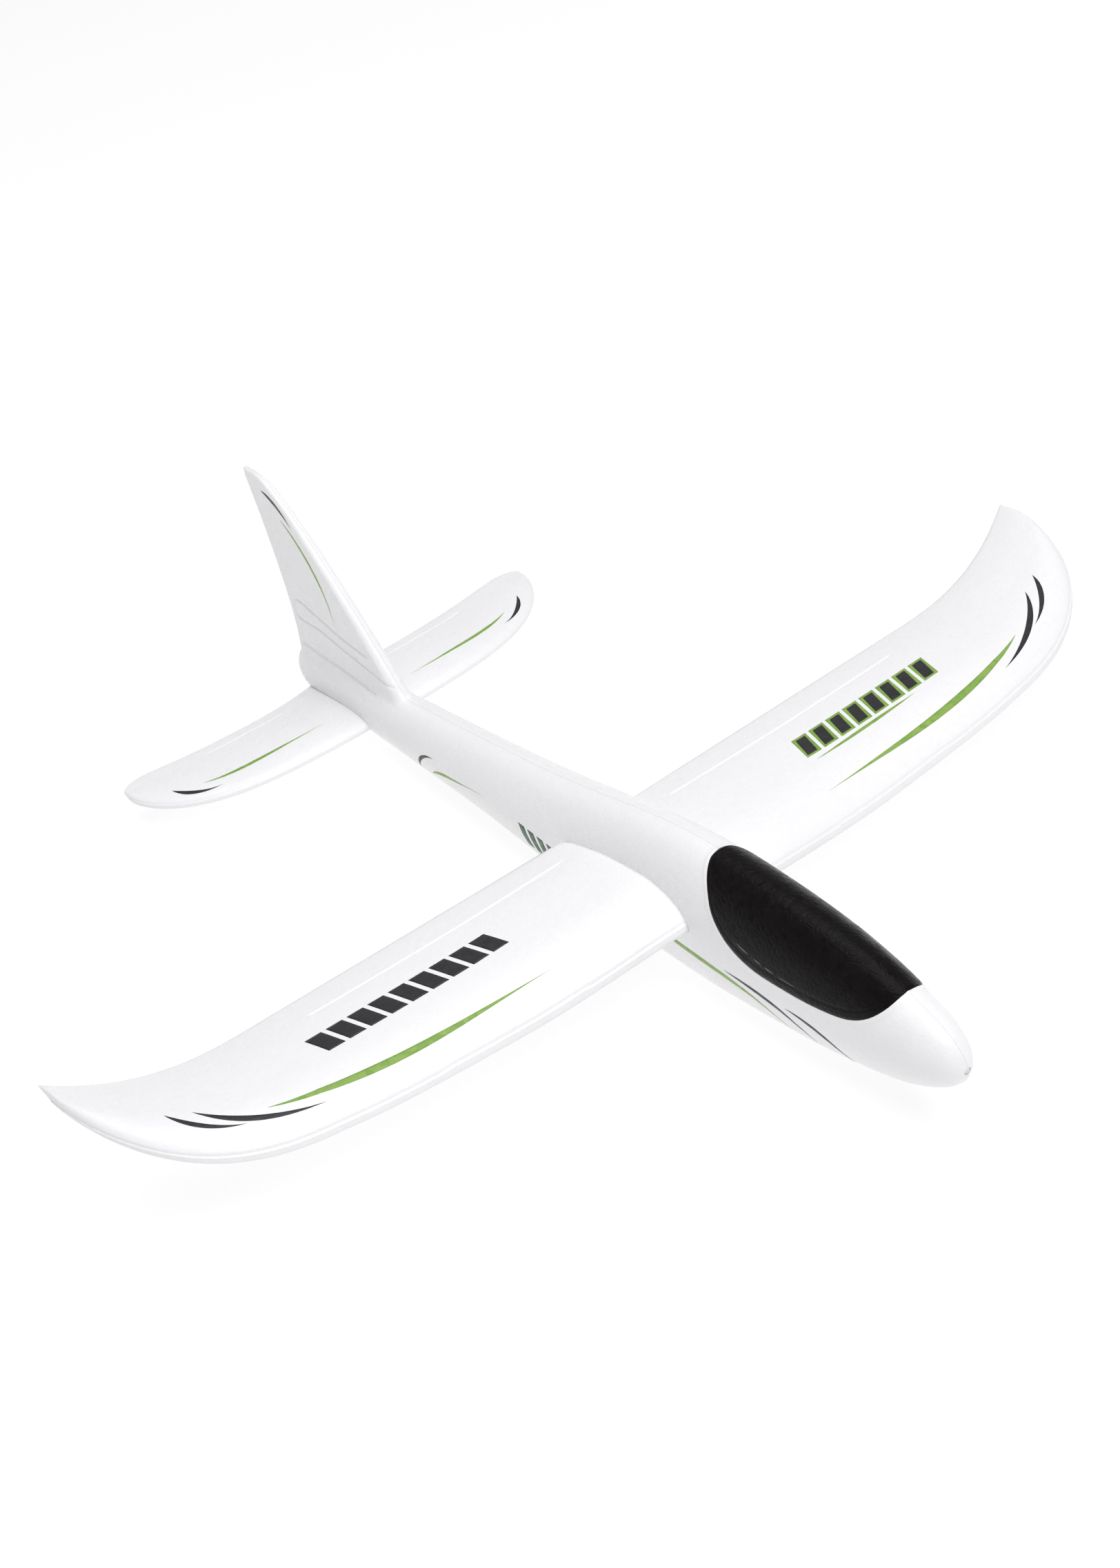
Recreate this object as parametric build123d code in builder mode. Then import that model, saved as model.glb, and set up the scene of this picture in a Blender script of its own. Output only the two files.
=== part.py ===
from build123d import *

import os
from math import pi, sin

# A hand-launch foam glider: two glued fuselage halves with the fin moulded in, a black canopy
# cap, a steel ballast rod, two plug-in wing panels, a tailplane that slides in a slot, and
# thin printed film stickers. Millimetres, +Z up, nose towards -Y, the pilot's left is +X.
# The origin is on the ground, midway along and across.

os.makedirs("parts", exist_ok=True)

HALF_SPAN = 240.0
FIT_GAP = 0.3  # clearance between pieces that come apart
FAR = 300.0  # past the glider on every side, for cuts that go right through
SMALLEST_RADIUS = 0.3  # of a fuselage section that is moved inwards

# ---- fuselage: one ellipse per station (y, top z, bottom z, half width) ----
FUSELAGE_STATIONS = [
    (-226.0, 39.6, 37.2, 0.9),
    (-225.2, 42.0, 34.6, 2.7),
    (-223.0, 45.6, 31.0, 5.2),
    (-219.0, 49.5, 27.1, 7.8),
    (-211.0, 53.8, 22.4, 10.7),
    (-199.0, 58.2, 17.2, 12.8),
    (-182.0, 63.2, 12.6, 14.7),
    (-158.0, 67.0, 8.1, 16.7),
    (-126.0, 69.2, 4.0, 17.8),
    (-92.0, 69.6, 0.2, 17.8),
    (-62.0, 66.2, -0.6, 17.5),
    (-30.0, 60.2, 0.8, 17.0),
    (10.0, 52.8, 4.6, 15.5),
    (60.0, 46.2, 7.4, 13.4),
    (110.0, 40.4, 8.2, 11.9),
    (160.0, 35.6, 7.6, 10.1),
    (200.0, 34.4, 7.0, 9.0),
    (213.0, 33.6, 8.0, 8.4),
    (219.0, 31.2, 10.4, 6.8),
    (222.6, 26.0, 14.4, 3.6),
]
FIN_STATIONS = [  # (z, leading edge y, trailing edge y, thickness)
    (24.0, 117.0, 219.0, 10.4),
    (34.0, 124.5, 218.5, 9.2),
    (42.0, 131.0, 217.6, 8.2),
    (56.0, 141.5, 216.8, 7.2),
    (80.0, 161.0, 218.0, 6.2),
    (104.0, 183.2, 221.4, 5.0),
    (116.0, 196.6, 223.8, 4.2),
    (122.0, 206.0, 225.2, 3.4),
    (124.5, 214.0, 226.0, 2.4),
]
BELLY_FLAT_Z = 0.0

# ---- canopy cap, a 4 mm shell, with its outline seen from the side as (y, z) ----
CANOPY_THICKNESS = 4.0
CANOPY_PROUD = 0.4
CANOPY_OUTLINE = [
    (-100.0, 69.0),
    (-105.4, 61.0),
    (-110.5, 53.0),
    (-119.5, 45.8),
    (-132.0, 41.8),
    (-150.0, 41.4),
    (-168.0, 42.2),
    (-181.0, 44.2),
    (-189.0, 47.6),
    (-195.0, 52.0),
    (-198.6, 56.0),
    (-200.8, 60.5),
]
CANOPY_REAR_TOP = (-100.0, 76.0)
CANOPY_FRONT_TOP = (-203.0, 76.0)

# ---- ballast rod, pushed into the nose ----
ROD_RADIUS = 1.5
ROD_LENGTH = 90.0
ROD_FRONT_Y = -225.4
ROD_Z = 37.4
ROD_CHAMFER = 0.3

# ---- wing: planform, dihedral and thickness as formulas of the distance x from the middle ----
WING_ROOT_X = 8.0
WING_SECTIONS = 18
TIP_START_X = 165.0  # where the trailing edge starts to sweep back and turn up
TIP_SWEEP = 13.6
TIP_RISE = 17.0
LE_ROUND_START_X = 120.0
ROOT_LE_LIFT = 2.4  # the leading edge stands this far above the trailing edge at the middle,
LE_FALL = 3.9  # sinks by this over its first stretch,
LE_FALL_END_X = 90.0
LE_DROOP = 3.6  # and bows down by this between the root and the tip
FULL_CHORD = 83.0
WING_EDGE_THICKNESS = 1.2  # where there is no chord left; the rest grows with the chord
WING_CHORD_THICKNESS = 6.8
TRAILING_EDGE_THICKNESS = 1.6
TONGUE_Y = (-80.0, -30.0)
TONGUE_Z = (41.4, 44.4)
TONGUE_END_X = 24.0
TONGUE_TIP_X = 0.4

# ---- tailplane ----
TAIL_HALF_SPAN = 111.0
TAIL_SECTIONS = 12
TAIL_FLAT_X = 24.0  # the section is level up to here, so that it can slide in its slot
TAIL_TWIST = 2.6
TAIL_LE_Z = 17.4
TAIL_TE_Z = 13.8
TAIL_MIDDLE_Y = 208.5
TAIL_LENGTH = 55.0  # from there forward to the leading edge
TAIL_NOTCH = 5.0  # the trailing edge runs back by this at the middle
TAIL_NOTCH_X = 40.0
TAIL_HOOK = 5.5  # and by this at the tips,
TAIL_HOOK_X = 60.0
TAIL_CORNER = 12.0  # which are rounded by this much
TAIL_CORNER_X = 95.0
TAIL_EDGE_THICKNESS = 2.0
TAIL_CHORD_THICKNESS = 4.6
TAIL_FULL_CHORD = 60.0

# Aerofoil points, as (share of the chord, share of the thickness). The wing is arched, with a
# hollow underside; the tailplane is nearly flat.
WING_UPPER = [(0.75, 0.76), (0.5, 1.14), (0.28, 1.28), (0.1, 0.95), (0.02, 0.46)]
WING_LOWER = [(0.012, -0.18), (0.06, -0.14), (0.25, 0.10), (0.6, 0.20)]
TAIL_UPPER = [(0.75, 0.40), (0.45, 0.62), (0.2, 0.62), (0.06, 0.44), (0.012, 0.22)]
TAIL_LOWER = [(0.012, -0.24), (0.06, -0.37), (0.25, -0.38), (0.6, -0.30)]
EDGE_SHARE = 0.6  # a trailing edge is at most this share of the thickness

# ---- film stickers, as the middle line of each tapered stripe and its greatest width ----
FILM = 0.2
WING_GREEN_STRIPES = [
    ([(68.1, -77.7), (106.6, -76.0), (143.9, -73.7), (162.3, -70.3), (183.1, -63.1)], 3.8),
]
WING_BLACK_STRIPES = [
    ([(165.4, -74.9), (179.3, -69.8), (190.3, -63.3), (204.5, -47.0)], 2.2),
    ([(192.1, -64.7), (199.9, -60.5), (205.9, -55.1), (213.2, -42.5)], 1.9),
]
TAIL_GREEN_STRIPES = [
    ([(24.0, 170.2), (40.0, 170.8), (57.0, 171.8), (70.0, 173.6), (83.5, 178.6)], 1.8),
]
TAIL_BLACK_STRIPES = [([(77.8, 170.4), (85.0, 173.2), (91.0, 178.0), (96.0, 186.2)], 1.9)]
FIN_GREEN_STRIPES = [([(199.1, 106.7), (183.4, 92.2), (176.5, 80.4), (173.1, 62.3)], 1.5)]
FIN_BLACK_STRIPES = [([(211.0, 117.5), (203.0, 114.8), (196.5, 110.8), (190.6, 105.2)], 1.6)]
SIDE_GREEN_STRIPES = [
    ([(-60.0, 26.4), (-86.0, 27.9), (-112.0, 27.0), (-131.0, 24.2), (-143.0, 16.4)], 2.0),
    ([(52.4, 29.4), (66.0, 27.4), (80.0, 25.0), (90.0, 22.8), (98.6, 18.5)], 1.5),
]
SIDE_BLACK_STRIPES = [
    ([(-113.6, 30.9), (-131.0, 30.4), (-147.0, 26.8), (-158.5, 18.4)], 1.4),
    ([(-147.8, 31.3), (-161.0, 29.6), (-170.0, 24.8), (-175.5, 17.0)], 1.2),
    ([(93.1, 28.8), (99.5, 27.4), (106.5, 22.6), (110.0, 16.6)], 1.5),
]
# Rows of slanted bars: (first bar's middle, pitch, number, bar width, foot, height, slant)
LEFT_WING_BARS = (79.5, 9.0, 8, 4.8, -55.0, 12.0, 3.5)
LEFT_WING_BAR_RIM = 1.3
LEFT_WING_UNDERLINE = [([(77.3, -60.0), (95.0, -59.5), (113.0, -59.1), (131.0, -58.8)], 1.8)]
RIGHT_WING_BARS = (-147.5, 9.2, 9, 7.2, -54.2, 12.6, -3.5)
SIDE_BARS = (-30.0, 7.0, 8, 4.6, 19.8, 10.5, 3.0)


def smooth_step(share):
    """0 up to 0, 1 from 1, and a smooth rise between."""
    share = min(max(share, 0.0), 1.0)
    return share * share * (3 - 2 * share)


def wing_section(x):
    """The wing's (LE y, TE y, LE z, TE z, thickness) at a distance x from the middle."""
    tip = max(0.0, (x - TIP_START_X) / (HALF_SPAN - TIP_START_X))
    nose = max(0.0, (x - LE_ROUND_START_X) / (HALF_SPAN + 0.5 - LE_ROUND_START_X))
    te_y = -12.0 + 0.008 * x + TIP_SWEEP * tip**2.5
    te_z = 39.0 + 0.010 * x + TIP_RISE * tip**2.4
    straight_le_y = -97.3 + 0.12 * x - 0.00032 * x**2
    le_y = te_y + (straight_le_y - te_y) * (1 - nose**2.7) ** (1 / 2.2)
    fall = LE_FALL * smooth_step(x / LE_FALL_END_X)
    bow = LE_DROOP * sin(pi * min(x, TIP_START_X) / TIP_START_X)
    le_z = te_z + ROOT_LE_LIFT - fall - bow
    thickness = WING_EDGE_THICKNESS + WING_CHORD_THICKNESS * (te_y - le_y) / FULL_CHORD
    return le_y, te_y, le_z, te_z, thickness


def tail_section(x):
    """The tailplane's (LE y, TE y, LE z, TE z, thickness) at a distance x from the middle."""
    out = max(0.0, (x - TAIL_FLAT_X) / (TAIL_HALF_SPAN - TAIL_FLAT_X))
    notch = TAIL_NOTCH * max(0.0, 1 - x / TAIL_NOTCH_X) ** 2
    hook = TAIL_HOOK * max(0.0, (x - TAIL_HOOK_X) / (TAIL_HALF_SPAN - TAIL_HOOK_X)) ** 2
    corner = max(0.0, (x - TAIL_CORNER_X) / (TAIL_HALF_SPAN + 1.0 - TAIL_CORNER_X))
    le_y = TAIL_MIDDLE_Y - TAIL_LENGTH * (1 - (x / (TAIL_HALF_SPAN + 1.0)) ** 2.9) ** 0.5
    te_y = TAIL_MIDDLE_Y + notch + hook - TAIL_CORNER * (1 - (1 - corner**2) ** 0.5)
    twist = TAIL_TWIST * sin(pi / 2 * out) ** 2
    thickness = TAIL_EDGE_THICKNESS + TAIL_CHORD_THICKNESS * (te_y - le_y) / TAIL_FULL_CHORD
    return le_y, te_y, TAIL_LE_Z - twist, TAIL_TE_Z + twist, thickness


def aerofoil_points(section, upper, lower):
    """Points from the top of the blunt trailing edge, round the nose, to its bottom."""
    le_y, te_y, le_z, te_z, thickness = section
    half_edge = min(TRAILING_EDGE_THICKNESS, EDGE_SHARE * thickness) / 2
    rises = [(s, r * thickness) for s, r in [*upper, (0, 0), *lower]]
    shape = [(1, half_edge), *rises, (1, -half_edge)]
    return [(le_y + s * (te_y - le_y), le_z + s * (te_z - le_z) + rise) for s, rise in shape]


def panel(section_at, x_values, upper, lower):
    """A lofted panel through the aerofoil sections at some distances from the middle."""
    with BuildPart() as made:
        for x in x_values:
            points = aerofoil_points(section_at(x), upper, lower)
            with BuildSketch(Plane.YZ.offset(x)):
                with BuildLine():
                    Spline(*points)
                    Line(points[-1], points[0])
                make_face()
        loft()
    return made.part


def spread(start, end, count):
    """Distances from start to end, closer together towards the end."""
    return [start + (end - start) * sin(pi / 2 * i / count) for i in range(count + 1)]


def tapered_stripe(points, width):
    """A stripe that is pointed at both ends and widest in the middle, as a closed wire's face."""
    sides = {1: [points[0]], -1: [points[0]]}
    for i in range(1, len(points) - 1):
        (ax, ay), (x, y), (bx, by) = points[i - 1 : i + 2]
        along = Vector(bx - ax, by - ay).normalized()
        half = width / 2 * sin(pi * i / (len(points) - 1)) ** 0.5
        for side, line in sides.items():
            line.append((x - side * half * along.Y, y + side * half * along.X))
    for line in sides.values():
        line.append(points[-1])
    with BuildSketch() as stripe:
        with BuildLine():
            Spline(*sides[1])
            Spline(*sides[-1])
        make_face()
    return stripe.sketch


def slanted_bars(first, pitch, count, width, foot, height, slant, rim=0.0):
    """A row of parallelograms, each with a rim of extra size all round."""
    with BuildSketch() as bars:
        for i in range(count):
            x = first + i * pitch
            half = width / 2 + rim
            low, high = foot - rim, foot + height + rim
            Polygon(
                (x - half, low),
                (x + half, low),
                (x + half + slant, high),
                (x - half + slant, high),
                align=None,
            )
    return bars.sketch


def film(shapes, plane, body, shift):
    """Thin film on a body's surface: flat shapes drawn on a plane, pressed onto the body's face
    that looks the way of shift."""
    raised = body.moved(Location(shift))
    with BuildPart() as cutter:
        with BuildSketch(plane):
            for shape in shapes:
                add(shape)
        extrude(amount=FAR, both=True)
    with BuildPart() as made:
        add(raised)
        add(cutter.part, mode=Mode.INTERSECT)
        add(body, mode=Mode.SUBTRACT)
    return made.part


def stripes(lines):
    """The faces of several tapered stripes."""
    return [tapered_stripe(points, width) for points, width in lines]


def both_sides(part):
    """A part and its mirror image in the middle plane, as one group."""
    with BuildPart() as group:
        add(part)
        mirror(about=Plane.YZ)
    return group.part


def fuselage_skin(outward):
    """The fuselage's outer shape, moved outwards by a distance (negative is inwards)."""
    with BuildPart() as skin:
        for y, top, bottom, half_width in FUSELAGE_STATIONS:
            with BuildSketch(Plane.XZ.offset(-y)):
                with Locations((0, (top + bottom) / 2)):
                    Ellipse(
                        max(half_width + outward, SMALLEST_RADIUS),
                        max((top - bottom) / 2 + outward, SMALLEST_RADIUS),
                    )
        loft()
    return skin.part


def box_between(low, high):
    """A box from its lowest corner to its highest."""
    size = [end - start for start, end in zip(low, high)]
    middle = [(end + start) / 2 for start, end in zip(low, high)]
    return Box(*size, mode=Mode.PRIVATE).moved(Location(middle))


# ---- shapes shared by several pieces ----
outer_skin = fuselage_skin(0)
clear_skin = fuselage_skin(FIT_GAP)
inner_skin = fuselage_skin(-CANOPY_THICKNESS)
proud_skin = fuselage_skin(CANOPY_PROUD)

with BuildPart() as canopy_prism:
    with BuildSketch(Plane.YZ):
        with BuildLine():
            Spline(*CANOPY_OUTLINE)
            Polyline(CANOPY_OUTLINE[-1], CANOPY_FRONT_TOP, CANOPY_REAR_TOP, CANOPY_OUTLINE[0])
        make_face()
    extrude(amount=FAR, both=True)

with BuildPart() as fin_blade:
    for z, le_y, te_y, thickness in FIN_STATIONS:
        with BuildSketch(Plane.XY.offset(z)):
            with Locations((0, (le_y + te_y) / 2)):
                SlotOverall(te_y - le_y, thickness, rotation=90)
    loft()

# ---- ballast rod ----
with BuildPart() as ballast_rod:
    with BuildSketch(Plane.XZ.offset(-ROD_FRONT_Y)):
        with Locations((0, ROD_Z)):
            Circle(ROD_RADIUS)
    extrude(amount=-ROD_LENGTH)
rod_hole = ballast_rod.part
rod_mouth = rod_hole.moved(Location((0, -ROD_RADIUS, 0)))
with BuildPart() as nose_weight:
    add(rod_hole)
    chamfer(nose_weight.edges().filter_by(GeomType.CIRCLE), ROD_CHAMFER)

# ---- tailplane ----
tail_stations = [0.0, TAIL_FLAT_X / 2, *spread(TAIL_FLAT_X, TAIL_HALF_SPAN, TAIL_SECTIONS)]
with BuildPart() as tailplane:
    add(panel(tail_section, tail_stations, TAIL_UPPER, TAIL_LOWER))
    mirror(about=Plane.YZ)

le_y, te_y, le_z, te_z, thickness = tail_section(0)
slot_section = (le_y - FIT_GAP, te_y + FIT_GAP, le_z, te_z, thickness + 2 * FIT_GAP)
slot_points = aerofoil_points(slot_section, TAIL_UPPER, TAIL_LOWER)
with BuildPart() as tail_slot:
    with BuildSketch(Plane.YZ):
        with BuildLine():
            Spline(*slot_points)
            Line(slot_points[-1], slot_points[0])
        make_face()
    extrude(amount=FAR, both=True)

# ---- fuselage body, then its two halves ----
wing_slot = box_between(
    (-FAR, TONGUE_Y[0] - FIT_GAP, TONGUE_Z[0] - FIT_GAP),
    (FAR, TONGUE_Y[1] + FIT_GAP, TONGUE_Z[1] + FIT_GAP),
)
below_belly = box_between((-FAR, -FAR, -FAR), (FAR, FAR, BELLY_FLAT_Z))

with BuildPart() as fuselage:
    add(outer_skin)
    add(fin_blade.part)
    add(canopy_prism.part - inner_skin, mode=Mode.SUBTRACT)
    add(wing_slot, mode=Mode.SUBTRACT)
    add(tail_slot.part, mode=Mode.SUBTRACT)
    add(rod_hole, mode=Mode.SUBTRACT)
    add(rod_mouth, mode=Mode.SUBTRACT)
    add(below_belly, mode=Mode.SUBTRACT)

with BuildPart() as fuselage_left_half:
    add(fuselage.part)
    split(bisect_by=Plane.YZ, keep=Keep.TOP)

with BuildPart() as fuselage_right_half:
    add(fuselage.part)
    split(bisect_by=Plane.YZ, keep=Keep.BOTTOM)

# ---- canopy ----
with BuildPart() as canopy:
    add(proud_skin)
    add(canopy_prism.part, mode=Mode.INTERSECT)
    add(inner_skin, mode=Mode.SUBTRACT)

# ---- wings ----
wing_stations = spread(WING_ROOT_X, HALF_SPAN, WING_SECTIONS)
wing_skin = panel(wing_section, wing_stations, WING_UPPER, WING_LOWER)
right_wing_skin = wing_skin.mirror(Plane.YZ)
tongue = box_between((TONGUE_TIP_X, TONGUE_Y[0], TONGUE_Z[0]), (TONGUE_END_X, TONGUE_Y[1], TONGUE_Z[1]))

with BuildPart() as left_wing:
    add(wing_skin)
    add(clear_skin, mode=Mode.SUBTRACT)
    add(tongue)

with BuildPart() as right_wing:
    add(left_wing.part.mirror(Plane.YZ))

# ---- film stickers ----
LIFT_UP = (0, 0, FILM)
LIFT_LEFT = (FILM, 0, 0)
left_bars = slanted_bars(*LEFT_WING_BARS)
left_rims = slanted_bars(*LEFT_WING_BARS, rim=LEFT_WING_BAR_RIM) - left_bars
underline = stripes(LEFT_WING_UNDERLINE)
right_bars = slanted_bars(*RIGHT_WING_BARS)
side_bars = slanted_bars(*SIDE_BARS)


def on_wing(shapes, skin=wing_skin):
    """Film on the top of a wing."""
    return film(shapes, Plane.XY, skin, LIFT_UP)


def on_tail(lines):
    """Tapered stripes on the top of both sides of the tailplane."""
    return both_sides(film(stripes(lines), Plane.XY, tailplane.part, LIFT_UP))


def on_fin(lines):
    """Tapered stripes on both sides of the fin."""
    return both_sides(film(stripes(lines), Plane.YZ, fin_blade.part, LIFT_LEFT))


def on_side(shapes):
    """Film on the left side of the fuselage."""
    return film(shapes, Plane.YZ, outer_skin, LIFT_LEFT)


PIECES = {
    "fuselage_left_half": fuselage_left_half.part,
    "fuselage_right_half": fuselage_right_half.part,
    "canopy": canopy.part,
    "nose_weight": nose_weight.part,
    "left_wing": left_wing.part,
    "right_wing": right_wing.part,
    "tailplane": tailplane.part,
    "left_wing_green_stripe": on_wing(stripes(WING_GREEN_STRIPES)),
    "left_wing_black_stripes": on_wing(stripes(WING_BLACK_STRIPES)),
    "left_wing_bars": on_wing([left_bars]),
    "left_wing_bar_rims": on_wing([left_rims, *underline]),
    "right_wing_bars": on_wing([right_bars], right_wing_skin),
    "tailplane_green_stripes": on_tail(TAIL_GREEN_STRIPES),
    "tailplane_black_stripes": on_tail(TAIL_BLACK_STRIPES),
    "fin_green_stripes": on_fin(FIN_GREEN_STRIPES),
    "fin_black_stripes": on_fin(FIN_BLACK_STRIPES),
    "left_side_green_stripes": on_side(stripes(SIDE_GREEN_STRIPES)),
    "left_side_black_stripes": on_side(stripes(SIDE_BLACK_STRIPES)),
    "left_side_bars": on_side([side_bars]),
}
MIRRORED = {
    "right_wing_green_stripe": "left_wing_green_stripe",
    "right_wing_black_stripes": "left_wing_black_stripes",
    "right_side_green_stripes": "left_side_green_stripes",
    "right_side_black_stripes": "left_side_black_stripes",
    "right_side_bars": "left_side_bars",
}
for name, original in MIRRORED.items():
    PIECES[name] = PIECES[original].mirror(Plane.YZ)
for name, piece in PIECES.items():
    piece.label = name
    export_step(piece, f"parts/{name}.step")
    box = piece.bounding_box()
    print(name, len(piece.solids()), round(piece.volume, 2), box.min, box.max)
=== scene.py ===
from itertools import product
from math import asin, cos, pi, radians, sin

import bmesh
import bpy
import numpy as np
from mathutils import Matrix, Vector, noise
from mathutils.bvhtree import BVHTree


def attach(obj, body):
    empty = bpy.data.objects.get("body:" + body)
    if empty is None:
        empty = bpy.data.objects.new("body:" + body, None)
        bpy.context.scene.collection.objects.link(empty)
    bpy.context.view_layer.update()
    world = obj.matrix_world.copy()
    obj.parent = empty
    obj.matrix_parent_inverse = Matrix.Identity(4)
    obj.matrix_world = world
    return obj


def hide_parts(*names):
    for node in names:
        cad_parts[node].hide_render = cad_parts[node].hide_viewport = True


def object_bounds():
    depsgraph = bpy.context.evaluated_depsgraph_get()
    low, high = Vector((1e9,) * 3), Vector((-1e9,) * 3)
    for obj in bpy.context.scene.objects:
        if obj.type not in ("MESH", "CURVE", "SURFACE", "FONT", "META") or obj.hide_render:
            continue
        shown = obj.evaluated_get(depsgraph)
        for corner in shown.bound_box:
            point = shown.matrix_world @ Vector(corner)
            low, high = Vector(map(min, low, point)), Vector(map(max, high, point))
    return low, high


# A white bead-foam hand-launch glider. Shapes are worked out in millimetres in the CAD frame
# (nose towards -Y, the pilot's left is +X, +Z up) and turned into metres when a mesh is made.
MM = 0.001
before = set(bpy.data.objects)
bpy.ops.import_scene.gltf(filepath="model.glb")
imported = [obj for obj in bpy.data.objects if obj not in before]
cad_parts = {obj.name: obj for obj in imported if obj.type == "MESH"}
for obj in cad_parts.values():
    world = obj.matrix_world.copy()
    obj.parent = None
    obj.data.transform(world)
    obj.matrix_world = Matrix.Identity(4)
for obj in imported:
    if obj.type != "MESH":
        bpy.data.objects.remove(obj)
cad_low, cad_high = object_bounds()
BODIES = {
    "left": "left_wing_panel",
    "right": "right_wing_panel",
    "tail": "tail_panel",
    "body": "fuselage",
}

# ---- driving sizes, mm ----
HALF_SPAN = 240.0
FIT_GAP = 0.03  # between pieces that come apart, as tight as foam is
FUSELAGE_STATIONS = [  # one ellipse per station (y, top z, bottom z, half width)
    (-226.0, 39.6, 37.2, 0.9), (-225.2, 42.0, 34.6, 2.7), (-223.0, 45.6, 31.0, 5.2),
    (-219.0, 49.5, 27.1, 7.8), (-211.0, 53.8, 22.4, 10.7), (-199.0, 58.2, 17.2, 12.8),
    (-182.0, 63.2, 12.6, 14.7), (-158.0, 67.0, 8.1, 16.7), (-126.0, 69.2, 4.0, 17.8),
    (-92.0, 69.6, 0.2, 17.8), (-62.0, 66.2, -0.6, 17.5), (-30.0, 60.2, 0.8, 17.0),
    (10.0, 52.8, 4.6, 15.5), (60.0, 46.2, 7.4, 13.4), (110.0, 40.4, 8.2, 11.9),
    (160.0, 35.6, 7.6, 10.1), (200.0, 34.4, 7.0, 9.0), (213.0, 33.6, 8.0, 8.4),
    (219.0, 31.2, 10.4, 6.8), (222.6, 26.0, 14.4, 3.6),
]
FIN_STATIONS = [  # (z, leading edge y, trailing edge y, thickness)
    (24.0, 117.0, 219.0, 10.4), (34.0, 124.5, 218.5, 9.2), (42.0, 131.0, 217.6, 8.2),
    (56.0, 141.5, 216.8, 7.2), (80.0, 161.0, 218.0, 6.2), (104.0, 183.2, 221.4, 5.0),
    (116.0, 196.6, 223.8, 4.2), (122.0, 206.0, 225.2, 3.4), (124.5, 214.0, 226.0, 2.4),
]
FIN_SLOT_OUTLINE = [  # the shut slot that is embossed on the fin, (y, z)
    (150.0, 53.6), (172.0, 55.6), (190.0, 59.2), (208.0, 61.4), (210.0, 52.6), (191.0, 51.6),
    (172.0, 48.8), (150.0, 46.2), (132.0, 43.6),
]
FIN_FOOT_LINE = [  # the crease where the fin meets the boom
    (212.0, 36.6), (197.6, 35.6), (178.7, 35.6), (161.0, 34.8), (149.0, 34.6),
]
FIN_FOOT_Y = (112.0, 165.0)  # the fin's front foot runs into the spine in a soft hollow here,
FIN_FOOT_FADE = 30.0  # which fades out over this at its rear,
FIN_FOOT_X = 9.0  # and reaches this far out
FIN_FOOT_RISE = 0.5
FIN_FOOT_REACH = 5.0  # above and below the spine
CANOPY_OUTLINE = [  # (y, z), from the rear to the front
    (-100.0, 69.0), (-105.4, 61.0), (-110.5, 53.0), (-119.5, 45.8), (-132.0, 41.8), (-150.0, 41.4),
    (-168.0, 42.2), (-181.0, 44.2), (-189.0, 47.6), (-195.0, 52.0), (-198.6, 56.0), (-200.8, 60.5),
]
CANOPY_THICKNESS = 4.0
CANOPY_PROUD = 0.4
CANOPY_SOFT = 0.45  # its edge is rounded over this
RECESS_PROUD = 3.0  # how far the tool that cuts the canopy's recess stands out
PANEL_LINE = 3.2  # the sunken line inside the canopy's edge, this far in,
PANEL_LINE_WIDTH = 0.35
PANEL_LINE_DEPTH = 0.16
ROD_RADIUS = 1.5
ROD_Z = 37.4
ROD_HOLE_Y = (-230.0, -135.4)  # from ahead of the nose to the rod's rear end
ROD_GAP = 0.02
HALF_GAP = 0.03  # from the middle to each fuselage half

GROUND = ((-60.0, -300.0, -20.0), (60.0, 300.0, 0.0))  # what the flat belly is cut by
FIN_SLOT_BOX = ((-8.0, 120.0, 40.0), (8.0, 216.0, 66.0))  # where finer faces carry the lines
CANOPY_BOX = ((-20.0, -210.0, 35.0), (20.0, -90.0, 75.0))

GRAIN = 0.85  # the size of the fuselage mesh's faces
SEAM_WIDTH = 0.8  # the seam between the halves is sunken behind the wing,
SEAM_DEPTH = 0.14
FLASH_HEIGHT = 0.28  # and stands up as a ridge of flash on the top ahead of it
FLASH_FROM_Y = -25.0
FLASH_FADE = 20.0
FLASH_ABOVE_Z = 30.0
FIN_SLOT_DEPTH = 0.6
FIN_SLOT_WIDTH = 0.7
FIN_FOOT_DEPTH = 0.8
FIN_FOOT_WIDTH = 0.9
RECESS_LIP = 0.34  # the raised lip just outside the canopy
RECESS_LIP_OUT = 0.9
RECESS_LIP_WIDTH = 0.9

TE_Y = -12.0  # the trailing edge at the middle, and its slope along the span
TE_SLOPE = 0.008
TE_Z = 39.0
DIHEDRAL = 0.010
LE_Y = -97.3  # the leading edge at the middle, its slope and its bow
LE_SLOPE = 0.12
LE_BOW = 0.00032
TIP_START_X = 165.0
TIP_SWEEP = 13.6
TIP_RISE = 17.0
LE_ROUND_START_X = 120.0
ROOT_LE_LIFT = 2.4
LE_FALL = 3.9
LE_FALL_END_X = 90.0
LE_DROOP = 3.6
FULL_CHORD = 83.0
WING_EDGE_THICKNESS = 1.2  # where there is no chord left; the rest grows with the chord
WING_CHORD_THICKNESS = 6.8
WING_ROOT_X = 16.0
ROOT_ROUND = 4.0  # the wing's end at the root is drawn in over this,
ROOT_PULL = 0.035  # by this share of the chord
TIP_ROUND = 1.4  # the edge of a tip is rounded over this,
THINNEST_TIP = 0.12  # down to this share of its thickness
TONGUE_LOW = (0.4, -80.0, 41.4)
TONGUE_HIGH = (24.0, -30.0, 44.4)
WING_UPPER = [(0.75, 0.76), (0.5, 1.14), (0.28, 1.28), (0.1, 0.95), (0.02, 0.46)]
WING_LOWER = [(0.012, -0.18), (0.06, -0.14), (0.25, 0.10), (0.6, 0.20)]
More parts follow.
